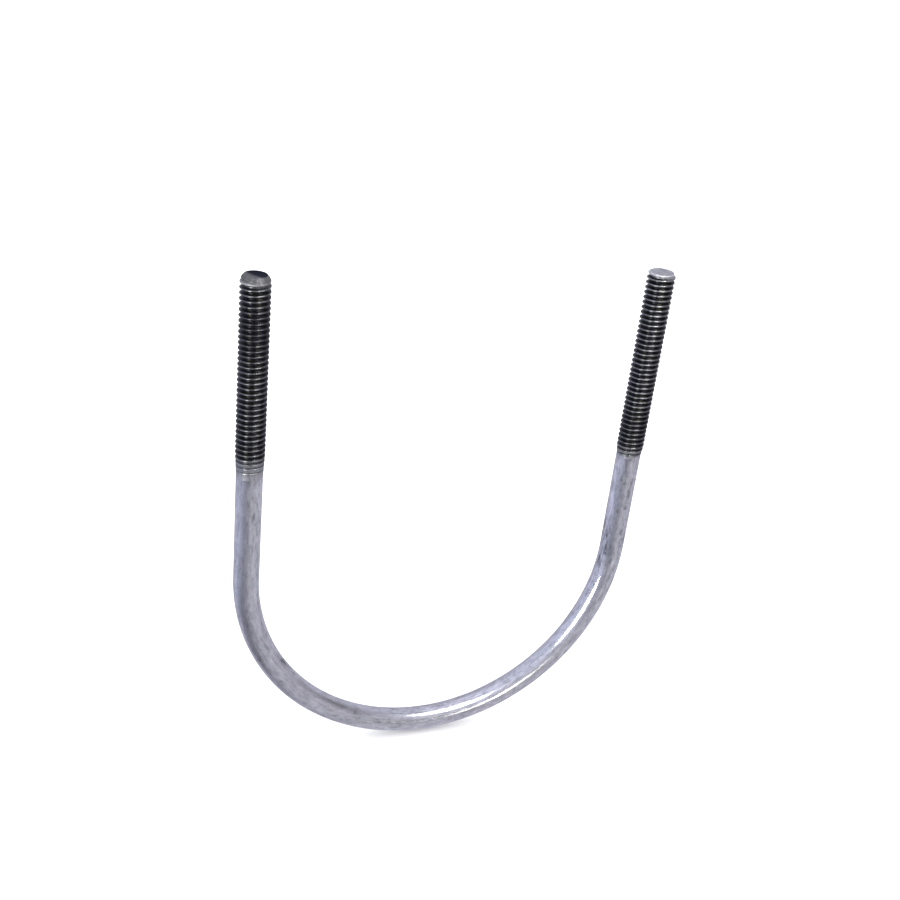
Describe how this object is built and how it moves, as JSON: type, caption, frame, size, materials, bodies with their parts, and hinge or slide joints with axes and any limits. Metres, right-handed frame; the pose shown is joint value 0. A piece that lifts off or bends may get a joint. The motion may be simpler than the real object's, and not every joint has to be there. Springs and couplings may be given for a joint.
{
  "type": "u-bolt",
  "caption": "Round steel bar bent to a U with a rolled right-hand thread on each leg; goes round a pipe or stands as an eye, and bolts through a plate.",
  "frame": {"origin": "centre of the bend, which is the axis of the pipe the bolt goes round", "axes": "+X from the left leg to the right leg, +Y along the pipe, +Z along the legs towards the threaded tips"},
  "size_m": [0.1198, 0.0078, 0.1439],
  "materials": {
    "steel": "drawn bar, satin, with darker rolled threads"
  },
  "bodies": {
    "root": {"u_bolt": "steel"}
  },
  "joints": []
}
